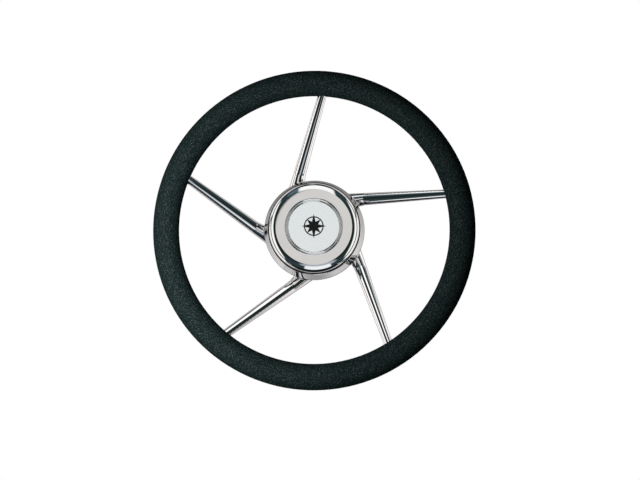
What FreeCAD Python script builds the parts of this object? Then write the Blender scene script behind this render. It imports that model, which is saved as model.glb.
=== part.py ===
import FreeCAD, Part
import math
import os
import re

import Sketcher

# A steering wheel for a boat: a padded steel ring on five tapered, swirled spokes
# welded to a round steel hub, with a snap-in centre cap.
#
# Every piece is drawn with the wheel lying face up: Z runs forward along the wheel's axis
# from the hub's rear face, X to the right and Y up as the driver sees the wheel. Heights
# below are measured along that axis. At the end each piece is stood up, so that the
# driver's side faces -Y and the origin is the centre of the hub's rear face.

SIZES = {
    # Ring: a bent tube inside a moulded grip
    "wheel_diameter": 350.0,
    "grip_diameter": 28.0,
    "rim_tube_diameter": 16.0,
    "rim_tube_wall": 1.5,
    "rim_height": 62.0,
    # Spokes: tapered tubes whose axes pass the wheel's axis, set in from the hub's widest circle
    "spoke_count": 5.0,
    "spoke_turn": 0.9,
    "spoke_set_in": 20.7,
    "spoke_hub_height": 31.0,
    "spoke_hub_diameter": 14.2,
    "spoke_rim_diameter": 9.0,
    "spoke_wall": 1.5,
    "spoke_root_depth": 12.0,
    "spoke_flare_length": 13.0,
    "spoke_flare": 2.2,
    "weld_radius": 1.0,
    # Hub cup: a spun bowl whose side widens from the lip, turns over its widest circle and
    # draws in to the floor
    "hub_diameter": 111.2,
    "hub_lip_taper": 19.0,
    "hub_side_radius": 8.0,
    "hub_side_taper": 6.0,
    "hub_corner_radius": 6.0,
    "hub_floor_height": 13.5,
    "hub_widest_height": 41.0,
    "hub_lip_height": 56.0,
    "hub_wall": 2.5,
    "hub_lip_round": 0.8,
    # Hub boss: turned, welded through the cup's floor, with the shaft's tapered bore
    "boss_sleeve_radius": 19.0,
    "boss_sleeve_height": 4.0,
    "boss_flange_radius": 27.0,
    "boss_flange_thickness": 2.5,
    "boss_spigot_radius": 22.0,
    "boss_length": 28.0,
    "boss_edge_round": 1.2,
    "bore_diameter": 19.05,
    "bore_taper": 12.0,
    "key_width": 4.76,
    "key_depth": 2.4,
    "nut_seat_radius": 15.0,
    "nut_seat_depth": 1.0,
    # Cap shell: a spun dome with a round recess for the badge
    "cap_inset": 1.4,
    "cap_wall": 1.2,
    "cap_skirt": 1.2,
    "cap_shoulder_radius": 9.4,
    "cap_crown_radius": 290.0,
    "cap_edge_round": 0.5,
    "recess_radius": 31.0,
    "recess_depth": 2.0,
    # Snap ring: a moulded ring with sprung fingers that catch under the cup's lip, and a
    # flange that shows as a thin line between the lip and the cap
    "snap_flange_inset": 0.2,
    "snap_flange_thickness": 1.0,
    "snap_wall": 2.0,
    "snap_play": 0.3,
    "snap_barb_drop": 2.4,
    "snap_barb_land": 1.0,
    "snap_finger_length": 6.5,
    "snap_tip_inset": 0.8,
    "snap_finger_count": 12.0,
    "snap_slot_width": 4.0,
    # Badge: a bead ring round a flat disc
    "fit_gap": 0.05,
    "bezel_width": 3.2,
    "bezel_side_height": 0.9,
    "bezel_rise": 1.04,
    "badge_thickness": 1.6,
    "badge_edge_round": 0.3,
}

RING_RADIUS = "((wheel_diameter - grip_diameter) / 2)"

# The hub cup's side: a cone from the lip, an arc over the widest circle, a straight draft
# behind it and a corner arc into the floor, each tangent to the next.
HUB_RADIUS = "(hub_diameter / 2)"
SIDE_CENTRE = f"({HUB_RADIUS} - hub_side_radius)"
LIP_TAPER = "(hub_lip_taper * 1 deg)"
SIDE_TAPER = "(hub_side_taper * 1 deg)"

# A spoke's axis, measured along its plan from the foot of the wheel's axis on it:
# SPOKE_FAR is where it meets the ring's centre line and SPOKE_NEAR the cup's widest circle.
SPOKE_OFFSET = f"({HUB_RADIUS} - spoke_set_in)"
SPOKE_FAR = f"sqrt({RING_RADIUS}^2 - {SPOKE_OFFSET}^2)"
SPOKE_NEAR = f"sqrt({HUB_RADIUS}^2 - {SPOKE_OFFSET}^2)"
SPOKE_SPAN = f"({SPOKE_FAR} - {SPOKE_NEAR})"
SPOKE_TILT = f"atan((rim_height - spoke_hub_height) / {SPOKE_SPAN})"
SPOKE_PLACE = (
    f"placement(vector({SPOKE_FAR}; {SPOKE_OFFSET}; rim_height);"
    f" rotation(vector(0; -1; 0); 90 deg + {SPOKE_TILT}))"
)
# Each cone starts its surface a little off the spoke's top line, because a seam along that
# line would graze the curve where the spoke enters the cup or the ring.
CONE_PLACE = f"{SPOKE_PLACE} * placement(vector(0; 0; 0); rotationz(45))"
FLARE_START = f"({SPOKE_SPAN} - spoke_flare_length)"
ROOT_END = f"({SPOKE_SPAN} + spoke_root_depth)"
ROOT_FLARE = "(spoke_flare * (1 + spoke_root_depth / spoke_flare_length) / 2)"

SEAT_HEIGHT = "(boss_length - nut_seat_depth)"
BORE_RADIUS = "bore_diameter / 2"

TOLERANCE = 1e-4


def cone_radius(height, inset="0"):
    """Radius of the cup's side between the lip and the arc, set in from the outer surface."""
    return (
        f"({SIDE_CENTRE} + (hub_side_radius - {inset}) / cos({LIP_TAPER})"
        f" - ({height} - hub_widest_height) * tan({LIP_TAPER}))"
    )


LIP_RADIUS = cone_radius("hub_lip_height")

# The snap ring's flange lies on the cup's lip and the cap stands on the flange. The cap's
# shoulder arc starts upright at the skirt and runs into the crown's large arc.
FLANGE_RADIUS = f"({LIP_RADIUS} - snap_flange_inset)"
FLANGE_TOP = "(hub_lip_height + snap_flange_thickness)"
CAP_RADIUS = f"({LIP_RADIUS} - cap_inset)"
CAP_INNER = f"({CAP_RADIUS} - cap_wall)"
SHOULDER_CENTRE = f"({CAP_RADIUS} - cap_shoulder_radius)"
SHOULDER_HEIGHT = f"({FLANGE_TOP} + cap_skirt)"
CROWN_REACH = "(cap_crown_radius - cap_shoulder_radius)"
CROWN_CENTRE = f"({SHOULDER_HEIGHT} - sqrt({CROWN_REACH}^2 - {SHOULDER_CENTRE}^2))"
CROWN_BASE = f"({SHOULDER_HEIGHT} - {CROWN_CENTRE})"

BEZEL_OUTER = "(recess_radius - fit_gap)"
BEZEL_INNER = f"({BEZEL_OUTER} - bezel_width)"


def crown_height(radius, inset="0"):
    """Height of the cap's crown at a radius, set in from the outer surface by inset."""
    return f"({CROWN_CENTRE} + sqrt((cap_crown_radius - {inset})^2 - ({radius})^2))"


RECESS_FLOOR = f"({crown_height('recess_radius')} - recess_depth)"


def shoulder_end(inset="0"):
    """Where the shoulder arc meets the crown, set in from the outer surface by inset."""
    share = f"(cap_crown_radius - {inset}) / {CROWN_REACH}"
    return f"{SHOULDER_CENTRE} * {share}", f"{CROWN_CENTRE} + {CROWN_BASE} * {share}"


def cup_side(inset="0"):
    """The cup's side from floor to lip, set in from the outer surface by inset: the steps
    of an outline that starts on the floor, where the corner arc begins."""
    turn = f"(hub_side_radius - {inset})"
    corner = f"(hub_corner_radius - {inset})"
    turn_start = (
        f"({SIDE_CENTRE} + {turn} * cos({SIDE_TAPER}))",
        f"(hub_widest_height - {turn} * sin({SIDE_TAPER}))",
    )
    turn_end_up = f"(hub_widest_height + {turn} * sin({LIP_TAPER}))"
    corner_height = "(hub_floor_height + hub_corner_radius)"
    corner_end_up = f"({corner_height} - {corner} * sin({SIDE_TAPER}))"
    draft = f"({turn_start[1]} - {corner_end_up}) * tan({SIDE_TAPER})"
    corner_end_across = f"({turn_start[0]} - {draft})"
    corner_centre = f"({corner_end_across} - {corner} * cos({SIDE_TAPER}))"
    return [
        (corner_centre, f"hub_floor_height + {inset}"),
        (corner_end_across, corner_end_up, corner, 1),
        turn_start,
        (cone_radius(turn_end_up, inset), turn_end_up, turn, 1),
        (cone_radius("hub_lip_height", inset), "hub_lip_height"),
    ]


def reversed_steps(steps):
    """The same stretch of outline drawn from its other end."""
    points = [step[:2] for step in steps]
    arcs = [step[2:] for step in steps[1:]]
    back = [points[-1]]
    for point, arc in zip(reversed(points[:-1]), reversed(arcs)):
        back.append((*point, arc[0], -arc[1]) if arc else point)
    return back


def spoke_diameter(distance):
    """The spoke's own taper, at a distance in plan from the ring's centre line."""
    growth = f"(spoke_hub_diameter - spoke_rim_diameter) * {distance} / {SPOKE_SPAN}"
    return f"(spoke_rim_diameter + {growth})"


def along_spoke(distance):
    """Length along the spoke's axis for a distance in plan."""
    return f"({distance} / cos({SPOKE_TILT}))"


def make_sheet(doc):
    """A spreadsheet of the driving sizes, one row each: name, value."""
    sheet = doc.addObject("Spreadsheet::Sheet", "Sizes")
    for row, (name, size) in enumerate(SIZES.items(), start=1):
        sheet.set(f"A{row}", name)
        sheet.set(f"B{row}", repr(size))
        sheet.setAlias(f"B{row}", name)
    doc.recompute()
    return sheet


def in_sheet(text):
    """The expression with each size's name pointing at its cell."""
    return re.sub(r"[a-z_]+", lambda word: f"Sizes.{word[0]}" if word[0] in SIZES else word[0], text)


def bind(thing, **expressions):
    """Bind properties of an object to expressions in the sheet's sizes."""
    for name, text in expressions.items():
        thing.setExpression(name, in_sheet(text))


def size_of(thing, text):
    """The present value of an expression, read through any object of the document."""
    return float(thing.evalExpression(in_sheet(text)))


def new_body(doc, name):
    body = doc.addObject("PartDesign::Body", name)
    body.Label = name
    return body


def origin_feature(body, role):
    """The body's own origin plane or axis with this role."""
    return next(feature for feature in body.Origin.OriginFeatures if feature.Role == role)


def new_sketch(body, name, plane):
    sketch = body.newObject("Sketcher::SketchObject", name)
    sketch.AttachmentSupport = [(origin_feature(body, plane), "")]
    sketch.MapMode = "FlatFace"
    return sketch


def fix_point(sketch, geometry, end, across, up):
    """Dimension one point of a sketch from the sketch's origin."""
    for kind, text in (("DistanceX", across), ("DistanceY", up)):
        if text == "0":
            axis = -2 if kind == "DistanceX" else -1
            sketch.addConstraint(Sketcher.Constraint("PointOnObject", geometry, end, axis))
            continue
        distance = size_of(sketch, text)
        index = sketch.addConstraint(Sketcher.Constraint(kind, -1, 1, geometry, end, distance))
        sketch.setExpression(f"Constraints[{index}]", in_sheet(text))


def left_arc(start, end, radius):
    """The short arc from start to end that turns left."""
    chord = end - start
    aside = FreeCAD.Vector(chord.y, -chord.x, 0).normalize()
    rise = radius - math.sqrt(radius**2 - (chord.Length / 2) ** 2)
    return Part.Arc(start, (start + end) / 2 + aside * rise, end)


def draw_outline(sheet, sketch, steps):
    """A closed outline. A step is (across, up) for a straight side to that point, or
    (across, up, radius, turn) for an arc that turns left (1) or right (-1) on its way
    there. The outline starts at the last step's point."""
    points = [
        FreeCAD.Vector(size_of(sheet, step[0]), size_of(sheet, step[1]), 0) for step in steps
    ]
    ends = []
    for index, step in enumerate(steps):
        start, end = points[index - 1], points[index]
        if len(step) == 2:
            side = sketch.addGeometry(Part.LineSegment(start, end))
            ends.append((side, 1, 2))
            continue
        radius, turn = step[2:]
        if turn < 0:
            start, end = end, start
        side = sketch.addGeometry(left_arc(start, end, size_of(sheet, radius)))
        ends.append((side, 1, 2) if turn > 0 else (side, 2, 1))
        limit = sketch.addConstraint(Sketcher.Constraint("Radius", side, size_of(sheet, radius)))
        sketch.setExpression(f"Constraints[{limit}]", in_sheet(radius))
    for index, step in enumerate(steps):
        side, _, last = ends[index]
        following, first, _ = ends[(index + 1) % len(ends)]
        sketch.addConstraint(Sketcher.Constraint("Coincident", side, last, following, first))
        fix_point(sketch, side, last, step[0], step[1])


def draw_circle(sheet, sketch, across, up, radius):
    """A circle centred at (across, up)."""
    centre = FreeCAD.Vector(size_of(sheet, across), size_of(sheet, up), 0)
    reach = size_of(sheet, radius)
    circle = sketch.addGeometry(Part.Circle(centre, FreeCAD.Vector(0, 0, 1), reach))
    limit = sketch.addConstraint(Sketcher.Constraint("Radius", circle, reach))
    sketch.setExpression(f"Constraints[{limit}]", in_sheet(radius))
    fix_point(sketch, circle, 3, across, up)


def revolve(body, sketch, name):
    """Turn a sketch on the XZ plane once round the wheel's axis."""
    turned = body.newObject("PartDesign::Revolution", name)
    turned.Profile = sketch
    turned.ReferenceAxis = (sketch, ["V_Axis"])
    turned.Angle = 360
    return turned


def turned_body(doc, sheet, name, steps):
    """A body turned from one closed outline."""
    body = new_body(doc, name)
    sketch = new_sketch(body, f"{name}_outline", "XZ_Plane")
    draw_outline(sheet, sketch, steps)
    revolve(body, sketch, f"{name}_turned")
    doc.recompute()
    return body


def round_circles(doc, sheet, body, name, radius, circles):
    """Round the body's circular edges at these (radius, height) pairs."""
    base = body.Tip
    picked = []
    for number, edge in enumerate(base.Shape.Edges, start=1):
        if not isinstance(edge.Curve, Part.Circle):
            continue
        for across, up in circles:
            off = abs(edge.Curve.Radius - size_of(sheet, across))
            off += abs(edge.Curve.Center.z - size_of(sheet, up))
            off += math.hypot(edge.Curve.Center.x, edge.Curve.Center.y)
            if off < TOLERANCE:
                picked.append(f"Edge{number}")
    if len(picked) != len(circles):
        raise RuntimeError(f"{name}: {len(picked)} edges found for {len(circles)} circles")
    fillet = body.newObject("PartDesign::Fillet", name)
    fillet.Base = (base, picked)
    bind(fillet, Radius=radius)
    doc.recompute()


def pattern(doc, body, feature, name, count):
    """Repeat a feature evenly round the wheel's axis."""
    polar = body.newObject("PartDesign::PolarPattern", name)
    polar.Originals = [feature]
    polar.Axis = (origin_feature(body, "Z_Axis"), [""])
    polar.Angle = 360
    bind(polar, Occurrences=count)
    body.Tip = polar
    doc.recompute()


def check_cut(doc, name, before, body):
    """A cut has to take something away."""
    doc.recompute()
    if body.Shape.Volume > before - TOLERANCE:
        raise RuntimeError(f"{name} cuts nothing")


def stand_up(piece, turn="0 deg"):
    """Stand a finished piece up to face -Y, turned by an angle round the wheel's axis."""
    bind(piece, Placement=f"placement(vector(0; 0; 0); rotationx(90) * rotationz({turn}))")


def make_ring_body(doc, sheet, name, radii):
    """A ring round the axis whose section has these radii, outer first."""
    body = new_body(doc, name)
    sketch = new_sketch(body, f"{name}_section", "XZ_Plane")
    for radius in radii:
        draw_circle(sheet, sketch, RING_RADIUS, "rim_height", radius)
    revolve(body, sketch, f"{name}_turned")
    doc.recompute()
    return body


def make_rim_tube(doc, sheet):
    outer = "rim_tube_diameter / 2"
    tube = make_ring_body(doc, sheet, "rim_tube", [outer, f"{outer} - rim_tube_wall"])
    stand_up(tube)
    return tube


def make_grip(doc, sheet):
    """The moulded grip: it fills the space round the tube and closes on each spoke."""
    grip = make_ring_body(doc, sheet, "grip", ["grip_diameter / 2", "rim_tube_diameter / 2"])
    before = grip.Shape.Volume
    pocket = grip.newObject("PartDesign::SubtractiveCone", "spoke_pocket")
    bind(
        pocket,
        Radius1="spoke_rim_diameter / 2",
        Radius2=f"{spoke_diameter(FLARE_START)} / 2",
        Height=along_spoke(FLARE_START),
        Placement=CONE_PLACE,
    )
    check_cut(doc, "spoke_pocket", before, grip)
    pattern(doc, grip, pocket, "spoke_pockets", "spoke_count")
    stand_up(grip, "spoke_turn * 1 deg")
    return grip


def make_hub_cup(doc, sheet):
    """The bowl: a flat floor with a hole for the boss, and the side up to the lip."""
    cup = turned_body(
        doc,
        sheet,
        "hub_cup",
        [
            *cup_side(),
            *reversed_steps(cup_side("hub_wall")),
            ("boss_spigot_radius", "hub_floor_height + hub_wall"),
            ("boss_spigot_radius", "hub_floor_height"),
        ],
    )
    round_circles(doc, sheet, cup, "lip_round", "hub_lip_round", [(LIP_RADIUS, "hub_lip_height")])
    stand_up(cup)
    return cup


def make_hub_boss(doc, sheet):
    """The boss: a bell-shaped sleeve behind the cup and a spigot through its floor."""
    flange_back = "hub_floor_height - boss_flange_thickness"
    seat_bore = f"{BORE_RADIUS} - {SEAT_HEIGHT} / (2 * bore_taper)"
    boss = turned_body(
        doc,
        sheet,
        "hub_boss",
        [
            (BORE_RADIUS, "0"),
            ("boss_sleeve_radius", "0"),
            ("boss_sleeve_radius", "boss_sleeve_height"),
            ("boss_flange_radius", flange_back),
            ("boss_flange_radius", "hub_floor_height"),
            ("boss_spigot_radius", "hub_floor_height"),
            ("boss_spigot_radius", "boss_length"),
            ("nut_seat_radius", "boss_length"),
            ("nut_seat_radius", SEAT_HEIGHT),
            (seat_bore, SEAT_HEIGHT),
        ],
    )
    edges = [("boss_sleeve_radius", "0"), ("boss_spigot_radius", "boss_length")]
    round_circles(doc, sheet, boss, "boss_rounds", "boss_edge_round", edges)
    cut_keyway(doc, sheet, boss)
    stand_up(boss)
    return boss


def cut_keyway(doc, sheet, boss):
    """A straight keyway along the top of the bore, open at both ends."""
    before = boss.Shape.Volume
    half, top = "key_width / 2", f"{BORE_RADIUS} + key_depth"
    sketch = new_sketch(boss, "keyway_outline", "XY_Plane")
    draw_outline(sheet, sketch, [(half, "0"), (half, top), (f"-{half}", top), (f"-{half}", "0")])
    keyway = boss.newObject("PartDesign::Pocket", "keyway")
    keyway.Profile = sketch
    keyway.Type = "ThroughAll"
    keyway.Reversed = True
    check_cut(doc, "keyway", before, boss)


def section_across_spoke(sheet, body, name, distance, aside, radius):
    """A round section across a spoke at a distance in plan from the ring's centre line."""
    sketch = new_sketch(body, name, "XY_Plane")
    step = f"placement(vector(0; 0; {along_spoke(distance)}); rotationz(0))"
    bind(sketch, AttachmentOffset=f"{SPOKE_PLACE} * {step}")
    draw_circle(sheet, sketch, "0", aside, radius)
    return sketch


def make_spoke(doc, sheet, hub_form, ring_form, number):
    """One spoke: a tapered tube that flares into the closed corner at its root, with a
    ground weld round it, coped to the hub cup at one end and the rim tube at the other."""
    root = new_body(doc, f"spoke_{number}_root")
    root.BaseFeature = hub_form
    blank = root.newObject("PartDesign::AdditiveCone", f"spoke_{number}_blank")
    flare_radius = f"{spoke_diameter(FLARE_START)} / 2"
    bind(
        blank,
        Radius1="spoke_rim_diameter / 2",
        Radius2=flare_radius,
        Height=along_spoke(FLARE_START),
        Placement=CONE_PLACE,
    )
    start = section_across_spoke(sheet, root, "flare_start", FLARE_START, "0", flare_radius)
    end_radius = f"{spoke_diameter(ROOT_END)} / 2 + {ROOT_FLARE}"
    end = section_across_spoke(sheet, root, "flare_end", ROOT_END, f"-{ROOT_FLARE}", end_radius)
    flare = root.newObject("PartDesign::AdditiveLoft", f"spoke_{number}_flare")
    flare.Profile = start
    flare.Sections = [end]
    flare.Ruled = True
    doc.recompute()
    weld = root.newObject("PartDesign::Fillet", f"spoke_{number}_weld")
    weld.Base = (flare, root_edges(flare.Shape, hub_form.Shape))
    bind(weld, Radius="weld_radius")
    bore = doc.addObject("Part::Cone", f"spoke_{number}_bore")
    bind(
        bore,
        Radius1="spoke_rim_diameter / 2 - spoke_wall",
        Radius2=f"{spoke_diameter(ROOT_END)} / 2 - spoke_wall",
        Height=along_spoke(ROOT_END),
        Placement=CONE_PLACE,
    )
    tools = doc.addObject("Part::Compound", f"spoke_{number}_tools")
    tools.Links = [hub_form, ring_form, bore]
    spoke = doc.addObject("Part::Cut", f"spoke_{number}")
    spoke.Base = root
    spoke.Tool = tools
    spoke.Label = f"spoke_{number}"
    stand_up(spoke, f"(spoke_turn + {number - 1} * 360 / spoke_count) * 1 deg")
    return spoke


def root_edges(joined, hub):
    """The edges where a spoke leaves the hub: on the hub's side, but not part of it alone."""
    names = []
    for number, edge in enumerate(joined.Edges, start=1):
        middle = edge.valueAt((edge.FirstParameter + edge.LastParameter) / 2)
        point = Part.Vertex(middle)
        on_side = hub.distToShape(point)[0] < TOLERANCE
        on_hub_edge = any(own.distToShape(point)[0] < TOLERANCE for own in hub.Edges)
        if on_side and not on_hub_edge:
            names.append(f"Edge{number}")
    return names


def make_spokes(doc, sheet):
    """All the spokes, and the two plain solids that their ends are coped against."""
    hub_form = turned_body(
        doc,
        sheet,
        "hub_form",
        [*cup_side(), ("0", "hub_lip_height"), ("0", "hub_floor_height")],
    )
    ring_form = make_ring_body(doc, sheet, "ring_form", ["rim_tube_diameter / 2"])
    count = int(SIZES["spoke_count"])
    return [make_spoke(doc, sheet, hub_form, ring_form, number) for number in range(1, count + 1)]


def make_cap_shell(doc, sheet):
    """The dome: skirt, shoulder, crown and the sunk floor that carries the badge."""
    floor_below = f"{RECESS_FLOOR} - cap_wall"
    recess_wall = "(recess_radius + cap_wall)"
    outer_across, outer_up = shoulder_end()
    inner_across, inner_up = shoulder_end("cap_wall")
    cap = turned_body(
        doc,
        sheet,
        "cap_shell",
        [
            (recess_wall, floor_below),
            (recess_wall, crown_height(recess_wall, "cap_wall")),
            (inner_across, inner_up, "cap_crown_radius - cap_wall", -1),
            (CAP_INNER, SHOULDER_HEIGHT, "cap_shoulder_radius - cap_wall", -1),
            (CAP_INNER, FLANGE_TOP),
            (CAP_RADIUS, FLANGE_TOP),
            (CAP_RADIUS, SHOULDER_HEIGHT),
            (outer_across, outer_up, "cap_shoulder_radius", 1),
            ("recess_radius", crown_height("recess_radius"), "cap_crown_radius", 1),
            ("recess_radius", RECESS_FLOOR),
            ("0", RECESS_FLOOR),
            ("0", floor_below),
        ],
    )
    edges = [(CAP_RADIUS, FLANGE_TOP), ("recess_radius", crown_height("recess_radius"))]
    round_circles(doc, sheet, cap, "cap_rounds", "cap_edge_round", edges)
    stand_up(cap)
    return cap


def make_snap_ring(doc, sheet):
    """The ring that holds the cap: its flange lies between the cup's lip and the cap, a
    collar fills the cap's skirt, and fingers catch under the lip."""
    skirt_outer = f"({cone_radius('hub_lip_height', 'hub_wall')} - snap_play)"
    skirt_inner = f"({skirt_outer} - snap_wall)"
    barb_top = "(hub_lip_height - snap_barb_drop)"
    barb_low = f"({barb_top} - snap_barb_land)"
    barb_radius = f"({cone_radius(barb_top, 'hub_wall')} - snap_play)"
    tip = "(hub_lip_height - snap_finger_length)"
    ring = turned_body(
        doc,
        sheet,
        "cap_snap_ring",
        [
            (f"{skirt_outer} - snap_tip_inset", tip),
            (barb_radius, barb_low),
            (barb_radius, barb_top),
            (skirt_outer, f"{barb_top} + ({barb_radius} - {skirt_outer})"),
            (skirt_outer, "hub_lip_height"),
            (FLANGE_RADIUS, "hub_lip_height"),
            (FLANGE_RADIUS, FLANGE_TOP),
            (CAP_INNER, FLANGE_TOP),
            (CAP_INNER, SHOULDER_HEIGHT),
            (skirt_inner, SHOULDER_HEIGHT),
            (skirt_inner, tip),
        ],
    )
    before = ring.Shape.Volume
    slot = ring.newObject("PartDesign::SubtractiveBox", "finger_slot")
    slot_corner = f"vector({skirt_inner} - snap_wall; -snap_slot_width / 2; {tip})"
    bind(
        slot,
        Length=f"{HUB_RADIUS} - {skirt_inner} + snap_wall",
        Width="snap_slot_width",
        Height="snap_finger_length",
        Placement=f"placement({slot_corner}; rotationz(0))",
    )
    check_cut(doc, "finger_slot", before, ring)
    pattern(doc, ring, slot, "finger_slots", "snap_finger_count")
    stand_up(ring)
    return ring


def make_bezel(doc, sheet):
    """The bead ring: flat underneath, rounded on top."""
    side_top = f"{RECESS_FLOOR} + bezel_side_height"
    bead = "((bezel_width / 2)^2 + bezel_rise^2) / (2 * bezel_rise)"
    bezel = turned_body(
        doc,
        sheet,
        "badge_bezel",
        [
            (BEZEL_OUTER, RECESS_FLOOR),
            (BEZEL_OUTER, side_top),
            (BEZEL_INNER, side_top, bead, 1),
            (BEZEL_INNER, RECESS_FLOOR),
        ],
    )
    stand_up(bezel)
    return bezel


def make_badge(doc, sheet):
    """The plain disc inside the bead ring."""
    radius = f"{BEZEL_INNER} - fit_gap"
    front = f"{RECESS_FLOOR} + badge_thickness"
    badge = turned_body(
        doc,
        sheet,
        "badge_disc",
        [(radius, RECESS_FLOOR), (radius, front), ("0", front), ("0", RECESS_FLOOR)],
    )
    round_circles(doc, sheet, badge, "badge_round", "badge_edge_round", [(radius, front)])
    stand_up(badge)
    return badge


def check_document(doc, pieces):
    """Stop at any object that failed and any piece that isn't one sound solid."""
    doc.recompute()
    for thing in doc.Objects:
        if "Invalid" in thing.State or "Error" in thing.State:
            raise RuntimeError(f"{thing.Name} failed: {thing.State}")
    for piece in pieces:
        if piece.Shape.isNull() or not piece.Shape.isValid() or len(piece.Shape.Solids) != 1:
            raise RuntimeError(f"{piece.Label} isn't one sound solid")


def main():
    doc = FreeCAD.newDocument("SteeringWheel")
    sheet = make_sheet(doc)
    pieces = [
        make_rim_tube(doc, sheet),
        make_grip(doc, sheet),
        *make_spokes(doc, sheet),
        make_hub_cup(doc, sheet),
        make_hub_boss(doc, sheet),
        make_cap_shell(doc, sheet),
        make_snap_ring(doc, sheet),
        make_bezel(doc, sheet),
        make_badge(doc, sheet),
    ]
    check_document(doc, pieces)
    os.makedirs("parts", exist_ok=True)
    for piece in pieces:
        piece.Shape.exportStep(f"parts/{piece.Label}.step")
        print(f"{piece.Label}: {piece.Shape.Volume / 1000:.2f} cm3")


main()
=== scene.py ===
from collections import namedtuple
import math

import bmesh
import bpy
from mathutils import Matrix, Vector


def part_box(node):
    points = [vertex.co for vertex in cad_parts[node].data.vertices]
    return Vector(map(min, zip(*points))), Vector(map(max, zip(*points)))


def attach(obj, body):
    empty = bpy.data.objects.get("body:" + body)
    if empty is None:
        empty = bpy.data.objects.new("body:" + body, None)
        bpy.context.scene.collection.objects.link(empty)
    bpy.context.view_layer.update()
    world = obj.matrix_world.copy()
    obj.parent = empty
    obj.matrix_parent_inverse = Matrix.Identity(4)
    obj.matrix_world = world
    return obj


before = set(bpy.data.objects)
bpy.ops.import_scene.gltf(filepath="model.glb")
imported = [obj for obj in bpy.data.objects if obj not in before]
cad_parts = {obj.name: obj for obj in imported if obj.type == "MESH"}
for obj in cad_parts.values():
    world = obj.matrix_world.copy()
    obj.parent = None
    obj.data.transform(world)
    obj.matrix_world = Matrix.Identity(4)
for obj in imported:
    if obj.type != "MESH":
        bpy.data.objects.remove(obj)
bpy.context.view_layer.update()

# The driver's side of the wheel faces -Y and +Z is up. All lengths are in metres.

# Camera: a little below and to the right of the wheel's axis, as in the photograph
CAMERA_PLACE = Vector((0.026, -1.090, -0.148))
CAMERA_DIRECTION = Vector((-0.0187, 0.9914, 0.1294))
CAMERA_LENS = 53.8
CAMERA_SENSOR = 36.0

# Brightness, where 1 is white. The fill is what matt surfaces get from all round.
WHITE = (1.0, 1.0, 1.0)
FILL = (0.22, 0.22, 0.22)
KEY_LEVEL = 12.5

# The key light is a softbox in front of the wheel's lower left, for the grip
KEY_PLACE = Vector((-0.22, -0.35, -0.09))
KEY_AIM = Vector((-0.12, -0.06, -0.08))
KEY_SIZE = (0.18, 0.54)

# The studio that gloss shows, by direction: bright and dim panels in a dark room. A panel
# faces the wheel along an axis, and its centre and half size are slopes across and up from
# that axis. A higher corner power makes an ellipse more of a rectangle, and edge is how soft
# its outline is. A later panel hides an earlier one.
Panel = namedtuple("Panel", "name axis across up centre half corner edge colour")
PANELS = (
    Panel("low front", "-z", "x", "-y", (0.14, 2.30), (0.66, 1.30), 4, 0.90, (0.50, 0.54, 0.60)),
    Panel("below", "-z", "x", "-y", (0.10, 0.85), (0.40, 0.70), 8, 0.50, (1.08, 1.11, 1.15)),
    Panel("left", "-x", "y", "z", (0.68, 0.05), (1.48, 1.00), 3, 0.16, (1.20, 1.20, 1.19)),
    Panel("right", "x", "y", "z", (0.70, 0.10), (1.45, 1.00), 3, 0.35, (1.20, 1.20, 1.19)),
    Panel("front", "-y", "x", "z", (-0.008, 0.14), (0.343, 0.352), 2, 0.04, (0.80, 0.79, 0.775)),
    Panel("round above", "z", "x", "-y", (-0.30, 0.75), (0.40, 0.60), 4, 0.90, (0.11, 0.17, 0.22)),
    Panel("above", "z", "x", "-y", (0.04, 1.00), (0.40, 0.92), 8, 0.95, (1.20, 1.24, 1.24)),
)

# The dark room: its colour at the wheel's height, then high up and low down, and at the rear.
# A spread is the part of a direction's height or depth over which one turns into the next.
ROOM_LEVEL = (0.0150, 0.0245, 0.0230)
ROOM_ABOVE = (0.032, 0.057, 0.067)
ROOM_SPREAD = (0.25, 0.70)
ROOM_REAR = (0.008, 0.010, 0.011)
REAR_SPREAD = (-0.10, 0.30)

# The pale sweep behind the wheel, from floor to ceiling, with a dark card in its middle
SWEEP_COLOUR = (0.92, 0.91, 0.91)
SWEEP_DEPTH = (0.12, 0.34)
SWEEP_FOOT = (-0.80, -0.58)
SWEEP_TOP = (0.92, 0.80)
CARD = Panel("card", "y", "x", "z", (0.15, -0.16), (0.42, 0.40), 2, 0.25, (0.02, 0.02, 0.022))

# Keeps the slopes finite in directions that turn away from a panel
LEAST_REACH = 0.001

# The grip's black: creases painted darker as shade, and pebbles with lighter speckles painted
# in as glints. The speckles alone have gloss, which fades where the surface turns away
# Painted glints: the lighter colour of the speckles
GRIP_PAINTED_GLINT = (0.0340, 0.0420, 0.0415)
GRIP_MIDDLE = (0.0046, 0.0096, 0.0094)
# Painted shade: the darker colour of the creases between pebbles
GRIP_CREASE_SHADE = (0.0030, 0.0070, 0.0068)
GRIP_ROUGHNESS = (0.40, 0.56)
GRIP_GLOSS = (0.05, 0.0)
GRIP_FADE = (0.04, 0.30)
GRIP_RELIEF = (0.00022, 0.8)
PEBBLE_SCALE = 620.0
PEBBLE_EDGE = 0.28
WARP_SCALE = 260.0
WARP_REACH = 0.0016
FINE_SCALE = 2600.0
FINE_HEIGHT = 0.25
FINE_SPREAD = (0.3, 0.75)
SPECKLE_SCALE = 1000.0
SPECKLE_DETAIL = 1.0
SPECKLE_SPREAD = (0.50, 0.62)

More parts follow.
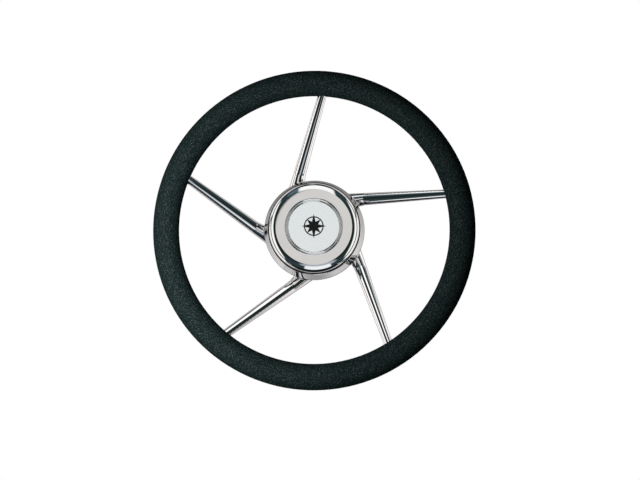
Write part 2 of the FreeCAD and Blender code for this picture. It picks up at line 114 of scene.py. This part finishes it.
# A steel finish: two tones that blend in clouds, how rough its fine marks are, how close
# together and how deep they lie, and how much light it keeps where it is seen at a low angle
Steel = namedtuple("Steel", "tones roughness marks depth edge")
POLISHED = Steel(((0.80, 0.79, 0.785), (0.77, 0.765, 0.76)), (0.02, 0.04), 2500.0, 0.000002, 0.40)
CUP = POLISHED._replace(edge=0.26)
# The bezel is the same polished steel painted darker, as painted shade
BEZEL_PAINTED_SHADE = POLISHED._replace(tones=((0.70, 0.70, 0.70), (0.66, 0.66, 0.66)))
SPOKE = POLISHED._replace(tones=((0.89, 0.86, 0.855), (0.86, 0.83, 0.825)), edge=0.10)
TURNED = Steel(((0.66, 0.65, 0.64), (0.58, 0.57, 0.56)), (0.20, 0.34), 3500.0, 0.00001, 1.0)
TUBE = TURNED._replace(roughness=(0.2, 0.35), marks=600.0)
MARK_DETAIL = 4.0
MARK_STRENGTH = 0.35
MARK_SPREAD = (0.35, 0.7)
CLOUD_SCALE = 45.0

# How much of the coordinates is left along the marks: round the axis and along a spoke
ROUND_STRETCH = 0.004
SPOKE_STRETCH = 0.02

# The cup's rear face is turned and not polished, from this far in front of it
CUP_REAR_DEPTH = 0.0006

# A coat: two tones, the scale and detail of its grain, how rough it is and its relief, which
# is a height and a strength
Coat = namedtuple("Coat", "name tones scale detail roughness relief")
SATIN = Coat(
    "satin_metal", ((0.93, 0.975, 0.995), (0.92, 0.975, 1.0)), 1800.0, 3.0, (0.15, 0.19), (0.000004, 0.3)
)
ENAMEL = Coat(
    "black_enamel", ((0.004, 0.005, 0.006), (0.010, 0.011, 0.012)), 900.0, 3.0, (0.30, 0.42), (0.00002, 0.4)
)
NYLON = Coat(
    "black_nylon", ((0.010, 0.010, 0.011), (0.018, 0.018, 0.019)), 1500.0, 4.0, (0.45, 0.60), (0.00004, 0.6)
)
ENAMEL_GLOSS = 0.25

# The satin badge's tones blend from its foot to its top, as painted shading of its reflection
BADGE_PAINTED_SHADING = (-0.028, 0.028)

# The middle part of a noise, over which a finish goes from its first value to its second
GRAIN_SPREAD = (0.3, 0.7)

# The badge's mark: a compass rose of thin black enamel, a little above the badge's middle.
# Long and short points with notches between them rise from their rim to a peak, and cross a
# flat ring. All of it is sunk a little into the disc.
ROSE_TIPS = (0.0134, 0.0104)
ROSE_NOTCH = 0.0052
ROSE_QUARTERS = 4
ROSE_RING = (0.0094, 0.0107)
ROSE_RIM = 0.00012
ROSE_PEAK = 0.00045
ROSE_SUNK = 0.00005
ROSE_PLACE = (0.0, 0.0005)
RING_SEGMENTS = 96

# The floor keeps the wheel's shadow up to the first reach and is plain white from the second
FLOOR_HEIGHT = -0.45
FLOOR_SIZE = 14.0
FLOOR_COLOUR = (0.86, 0.86, 0.86)
FLOOR_ROUGHNESS = 0.9
FLOOR_LIFT = 0.75
SHADOW_REACH = (0.7, 1.6)


def set_input(tree, socket, value):
    """Link an input to another node's output, or set it to a plain value."""
    if isinstance(value, bpy.types.NodeSocket):
        tree.links.new(value, socket)
    elif socket.type == "RGBA":
        socket.default_value = (*value, 1.0)
    else:
        socket.default_value = value


def set_inputs(tree, node, **inputs):
    """Link or set a node's inputs by name, with underscores for spaces."""
    for name, value in inputs.items():
        set_input(tree, node.inputs[name.replace("_", " ")], value)


def add(tree, kind, settings=(), values=(), **inputs):
    """A shader node with its settings. Its inputs are filled in order by values, or by name."""
    node = tree.nodes.new("ShaderNode" + kind)
    for name, value in dict(settings).items():
        setattr(node, name, value)
    for index, value in enumerate(values):
        set_input(tree, node.inputs[index], value)
    set_inputs(tree, node, **inputs)
    return node


def maths(tree, operation, *values):
    """The result of a maths operation on numbers or sockets."""
    return add(tree, "Math", {"operation": operation}, values).outputs[0]


def ramp_between(tree, value, start, end, low=0.0, high=1.0):
    """A smooth step from low to high while value goes from start to end."""
    node = add(tree, "MapRange", {"interpolation_type": "SMOOTHSTEP"}, (value, start, end, low, high))
    return node.outputs[0]


def blend_colours(tree, factor, first, second):
    """A colour between two colours or sockets. The node's colours are its inputs 6 and 7, and
    its output 2."""
    node = add(tree, "Mix", {"data_type": "RGBA"})
    for index, value in ((0, factor), (6, first), (7, second)):
        set_input(tree, node.inputs[index], value)
    return node.outputs[2]


def noise(tree, place, scale, detail=2.0, output=0):
    """Noise at the coordinates: its value, or another of its outputs."""
    return add(tree, "TexNoise", Vector=place, Scale=scale, Detail=detail).outputs[output]


def bump(tree, height, distance, strength):
    """A normal that follows a height."""
    return add(tree, "Bump", Height=height, Distance=distance, Strength=strength).outputs[0]


def parts_of(tree, vector):
    """The X, Y and Z of a vector."""
    return add(tree, "SeparateXYZ", values=(vector,)).outputs


def new_material(name):
    """A node material with its tree, its shader and its object coordinates."""
    material = bpy.data.materials.new(name)
    material.use_nodes = True
    tree = material.node_tree
    tree.nodes.clear()
    shader = add(tree, "BsdfPrincipled")
    add(tree, "OutputMaterial", values=(shader.outputs[0],))
    place = add(tree, "TexCoord").outputs["Object"]
    return material, tree, shader, place


def round_axis(tree, place):
    """Coordinates round the wheel's axis, stretched round it: radius, angle and depth."""
    parts = parts_of(tree, place)
    across, depth, up = parts["X"], parts["Y"], parts["Z"]
    square = maths(tree, "ADD", maths(tree, "MULTIPLY", across, across), maths(tree, "MULTIPLY", up, up))
    angle = maths(tree, "MULTIPLY", maths(tree, "ARCTAN2", up, across), ROUND_STRETCH)
    return add(tree, "CombineXYZ", values=(maths(tree, "SQRT", square), angle, depth)).outputs[0]


def along(angle):
    """Coordinates stretched along a line that lies at an angle in the wheel's plane."""
    def place_of(tree, place):
        turned = add(tree, "Mapping", Vector=place, Rotation=(0, angle, 0)).outputs[0]
        return add(tree, "Mapping", Vector=turned, Scale=(SPOKE_STRETCH, 1, 1)).outputs[0]
    return place_of


def unstretched(tree, place):
    """The coordinates as they are."""
    return place


def steel(name, finish, place_of, turned_from=None):
    """A steel finish whose fine marks follow the coordinates that place_of makes. From the
    depth turned_from on it is turned and not polished."""
    material, tree, shader, place = new_material(name)
    grain = noise(tree, place_of(tree, place), finish.marks, MARK_DETAIL)
    cloud = ramp_between(tree, noise(tree, place, CLOUD_SCALE), *GRAIN_SPREAD)
    roughness = ramp_between(tree, grain, *MARK_SPREAD, *finish.roughness)
    tone = blend_colours(tree, cloud, *finish.tones)
    if turned_from is not None:
        depth = parts_of(tree, place)["Y"]
        rear = ramp_between(tree, depth, turned_from, turned_from + CUP_REAR_DEPTH)
        turned = ramp_between(tree, grain, *MARK_SPREAD, *TURNED.roughness)
        gap = maths(tree, "SUBTRACT", turned, roughness)
        roughness = maths(tree, "MULTIPLY_ADD", rear, gap, roughness)
        tone = blend_colours(tree, rear, tone, TURNED.tones[0])
    set_inputs(
        tree,
        shader,
        Metallic=1.0,
        Base_Color=tone,
        Roughness=roughness,
        Specular_Tint=(finish.edge,) * 3,
        Normal=bump(tree, grain, finish.depth, MARK_STRENGTH),
    )
    return material


def coated(coat, rise=None, **inputs):
    """A fine-grained coat. Its tones blend over the heights of rise as painted shading, or else with the
    grain.
    """
    material, tree, shader, place = new_material(coat.name)
    grain = noise(tree, place, coat.scale, coat.detail)
    share = ramp_between(tree, parts_of(tree, place)["Z"], *rise) if rise else grain
    set_inputs(
        tree,
        shader,
        Base_Color=blend_colours(tree, share, *coat.tones),
        Roughness=ramp_between(tree, grain, *GRAIN_SPREAD, *coat.roughness),
        Normal=bump(tree, grain, *coat.relief),
        **inputs,
    )
    return material


def grip_leather():
    """Black moulded polyurethane with a fine leather grain."""
    material, tree, shader, place = new_material("grip_leather")
    warp = noise(tree, place, WARP_SCALE, output="Color")
    pull = {"operation": "MULTIPLY_ADD"}
    warped = add(tree, "VectorMath", pull, (warp, (WARP_REACH,) * 3, place)).outputs[0]
    cells = add(tree, "TexVoronoi", {"feature": "DISTANCE_TO_EDGE"}, Vector=warped, Scale=PEBBLE_SCALE)
    # The pebble ramp gives the grain's height, and it also paints shade into the creases between pebbles
    pebble_and_crease_shade = ramp_between(tree, cells.outputs["Distance"], 0.0, PEBBLE_EDGE)
    fine = noise(tree, place, FINE_SCALE)
    height = maths(tree, "MULTIPLY_ADD", fine, FINE_HEIGHT, pebble_and_crease_shade)
    speckles = noise(tree, place, SPECKLE_SCALE, SPECKLE_DETAIL)
    # The speckles get real gloss, and their colour is also painted lighter as glints
    speckle = ramp_between(tree, speckles, *SPECKLE_SPREAD)
    tint_with_painted_glints = blend_colours(tree, speckle, GRIP_MIDDLE, GRIP_PAINTED_GLINT)
    facing = add(tree, "LayerWeight").outputs["Facing"]
    gloss = ramp_between(tree, facing, *GRIP_FADE, *GRIP_GLOSS)
    # The base colour paints shade into the creases and glints onto the speckles
    set_inputs(
        tree,
        shader,
        Base_Color=blend_colours(tree, pebble_and_crease_shade, GRIP_CREASE_SHADE, tint_with_painted_glints),
        Roughness=ramp_between(tree, fine, *FINE_SPREAD, *GRIP_ROUGHNESS),
        Specular_IOR_Level=maths(tree, "MULTIPLY", gloss, speckle),
        Normal=bump(tree, height, *GRIP_RELIEF),
    )
    return material


def dress(node, material):
    """Give a carried-over node its finish."""
    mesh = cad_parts[node].data
    mesh.materials.clear()
    mesh.materials.append(material)


def dress_all():
    """Finishes of all the nodes."""
    dress("grip", grip_leather())
    spokes = sorted(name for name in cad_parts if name.startswith("spoke_"))
    for index, name in enumerate(spokes):
        dress(name, steel(f"polished_{name}", SPOKE, along(index * math.tau / len(spokes))))
    dress("cap_shell", steel("spun_steel", POLISHED, round_axis))
    # The bezel's steel is painted darker as shade
    dress("badge_bezel", steel("bezel_steel_painted_shade", BEZEL_PAINTED_SHADE, round_axis))
    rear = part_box("hub_cup")[1][1] - CUP_REAR_DEPTH
    dress("hub_cup", steel("cup_steel", CUP, round_axis, rear))
    dress("hub_boss", steel("turned_steel", TURNED, round_axis))
    dress("rim_tube", steel("tube_steel", TUBE, unstretched))
    dress("cap_snap_ring", coated(NYLON))
    # The badge disc's colour is painted shaded from its foot to its top
    dress("badge_disc", coated(SATIN, BADGE_PAINTED_SHADING, Metallic=1.0))


def mesh_of(name, shape):
    """A mesh with the shape that was built."""
    mesh = bpy.data.meshes.new(name)
    shape.to_mesh(mesh)
    shape.free()
    return mesh


def put_in_scene(name, data):
    """A new object in the scene that shows the data."""
    thing = bpy.data.objects.new(name, data)
    bpy.context.scene.collection.objects.link(thing)
    return thing


def make_badge_mark():
    """A thin raised compass rose on the face of the badge's disc."""
    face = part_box("badge_disc")[0][1]
    shape = bmesh.new()

    def corner(radius, turn, height):
        """A corner at a radius, after a part of a full turn, at a height above the disc."""
        angle = turn * math.tau
        across = ROSE_PLACE[0] + radius * math.sin(angle)
        up = ROSE_PLACE[1] + radius * math.cos(angle)
        return shape.verts.new((across, face - height, up))

    def loop_of(radii, height):
        """A closed loop with a corner at each radius."""
        return [corner(radius, index / len(radii), height) for index, radius in enumerate(radii)]

    def join(first, second):
        """A band of faces between two loops."""
        for index in range(len(first)):
            shape.faces.new((first[index - 1], first[index], second[index], second[index - 1]))

    radii = (ROSE_TIPS[0], ROSE_NOTCH, ROSE_TIPS[1], ROSE_NOTCH) * ROSE_QUARTERS
    rims = []
    for height, middle in ((ROSE_RIM, ROSE_PEAK), (-ROSE_SUNK, -ROSE_SUNK)):
        rim = loop_of(radii, height)
        centre = corner(0.0, 0.0, middle)
        for index in range(len(rim)):
            shape.faces.new((centre, rim[index - 1], rim[index]))
        rims.append(rim)
    join(*rims)

    inner, outer = ROSE_RING
    section = ((inner, ROSE_RIM), (outer, ROSE_RIM), (outer, -ROSE_SUNK), (inner, -ROSE_SUNK))
    loops = [loop_of((radius,) * RING_SEGMENTS, height) for radius, height in section]
    for index, loop in enumerate(loops):
        join(loops[index - 1], loop)
    bmesh.ops.recalc_face_normals(shape, faces=shape.faces)

    mesh = mesh_of("badge_mark", shape)
    mesh.materials.append(coated(ENAMEL, Specular_IOR_Level=ENAMEL_GLOSS))
    mark = put_in_scene("badge_mark", mesh)
    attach(mark, "root")


def component(tree, parts, name):
    """One component of a direction: x, y or z, with a minus sign for its opposite."""
    value = parts[name[-1].upper()]
    return maths(tree, "MULTIPLY", value, -1.0) if name.startswith("-") else value


def panel_mask(tree, parts, panel):
    """How far a direction sees a panel: 1 inside, 0 outside, soft at its edge."""
    toward = component(tree, parts, panel.axis)
    reach = maths(tree, "MAXIMUM", toward, LEAST_REACH)
    powers = []
    for name, centre, half in zip((panel.across, panel.up), panel.centre, panel.half):
        slope = maths(tree, "DIVIDE", component(tree, parts, name), reach)
        share = maths(tree, "DIVIDE", maths(tree, "SUBTRACT", slope, centre), half)
        powers.append(maths(tree, "POWER", maths(tree, "ABSOLUTE", share), panel.corner))
    outward = maths(tree, "ADD", *powers)
    inside = ramp_between(tree, outward, 1 + panel.edge, 1 - panel.edge)
    return maths(tree, "MULTIPLY", inside, maths(tree, "GREATER_THAN", toward, 0.0))


def studio_colour(tree):
    """What gloss shows in each direction: the dark room, the sweep behind and the panels."""
    parts = parts_of(tree, add(tree, "TexCoord").outputs["Generated"])
    height = maths(tree, "ABSOLUTE", parts["Z"])
    colour = blend_colours(tree, ramp_between(tree, height, *ROOM_SPREAD), ROOM_LEVEL, ROOM_ABOVE)
    colour = blend_colours(tree, ramp_between(tree, parts["Y"], *REAR_SPREAD), colour, ROOM_REAR)
    foot = ramp_between(tree, parts["Z"], *SWEEP_FOOT)
    upright = maths(tree, "MULTIPLY", foot, ramp_between(tree, parts["Z"], *SWEEP_TOP))
    sweep = maths(tree, "MULTIPLY", ramp_between(tree, parts["Y"], *SWEEP_DEPTH), upright)
    colour = blend_colours(tree, sweep, colour, SWEEP_COLOUR)
    for panel in (*PANELS, CARD):
        colour = blend_colours(tree, panel_mask(tree, parts, panel), colour, panel.colour)
        colour.node.label = panel.name
    return colour


def make_world():
    """White for the camera, the studio for gloss and an even fill for the rest. The fill is
    the same from everywhere, so Cycles doesn't have to aim rays at parts of the world."""
    world = bpy.data.worlds.new("studio")
    bpy.context.scene.world = world
    world.use_nodes = True
    world.cycles.sampling_method = "NONE"
    tree = world.node_tree
    tree.nodes.clear()
    path = add(tree, "LightPath")
    light = blend_colours(tree, path.outputs["Is Glossy Ray"], FILL, studio_colour(tree))
    seen = blend_colours(tree, path.outputs["Is Camera Ray"], light, WHITE)
    background = add(tree, "Background", Color=seen, Strength=1.0)
    add(tree, "OutputWorld", values=(background.outputs[0],))


def make_key():
    """The key softbox, which lights the grip alone. Its power follows its size, so its face
    stays as bright if the size changes."""
    light = bpy.data.lights.new("key", "AREA")
    light.shape = "RECTANGLE"
    light.size, light.size_y = KEY_SIZE
    light.energy = KEY_LEVEL * math.pi * KEY_SIZE[0] * KEY_SIZE[1]
    lamp = put_in_scene("key", light)
    lamp.location = KEY_PLACE
    lamp.rotation_euler = (KEY_AIM - KEY_PLACE).to_track_quat("-Z", "Y").to_euler()
    lamp.visible_camera = False
    lit = bpy.data.collections.new("lit_by_key")
    lit.objects.link(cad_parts["grip"])
    lamp.light_linking.receiver_collection = lit


def make_floor():
    """A pale floor: it keeps the wheel's shadow near the wheel and is white further out. What
    the fill leaves out of white is added for the camera alone."""
    shape = bmesh.new()
    bmesh.ops.create_grid(shape, x_segments=1, y_segments=1, size=FLOOR_SIZE / 2)
    mesh = mesh_of("floor", shape)
    floor = put_in_scene("floor", mesh)
    floor.location.z = FLOOR_HEIGHT
    floor.visible_glossy = False
    material, tree, shader, place = new_material("floor_paper")
    set_inputs(tree, shader, Base_Color=FLOOR_COLOUR, Roughness=FLOOR_ROUGHNESS)
    distance = add(tree, "VectorMath", {"operation": "LENGTH"}, (place,)).outputs["Value"]
    camera = add(tree, "LightPath").outputs["Is Camera Ray"]
    far = maths(tree, "MULTIPLY", ramp_between(tree, distance, *SHADOW_REACH), camera)
    lift = add(tree, "Emission", Color=WHITE, Strength=maths(tree, "MULTIPLY", camera, FLOOR_LIFT))
    near = add(tree, "AddShader", values=(shader.outputs[0], lift.outputs[0]))
    glow = add(tree, "Emission", Color=WHITE, Strength=1.0)
    mixed = add(tree, "MixShader", values=(far, near.outputs[0], glow.outputs[0]))
    output = next(node for node in tree.nodes if node.type == "OUTPUT_MATERIAL")
    tree.links.new(mixed.outputs[0], output.inputs[0])
    mesh.materials.append(material)


def make_camera():
    """The photograph's camera."""
    data = bpy.data.cameras.new("camera")
    data.lens = CAMERA_LENS
    data.sensor_width = CAMERA_SENSOR
    camera = put_in_scene("camera", data)
    camera.location = CAMERA_PLACE
    camera.rotation_euler = CAMERA_DIRECTION.to_track_quat("-Z", "Y").to_euler()
    bpy.context.scene.camera = camera


bpy.context.scene.view_settings.view_transform = "Standard"
make_camera()
make_world()
make_key()
make_floor()
dress_all()
make_badge_mark()
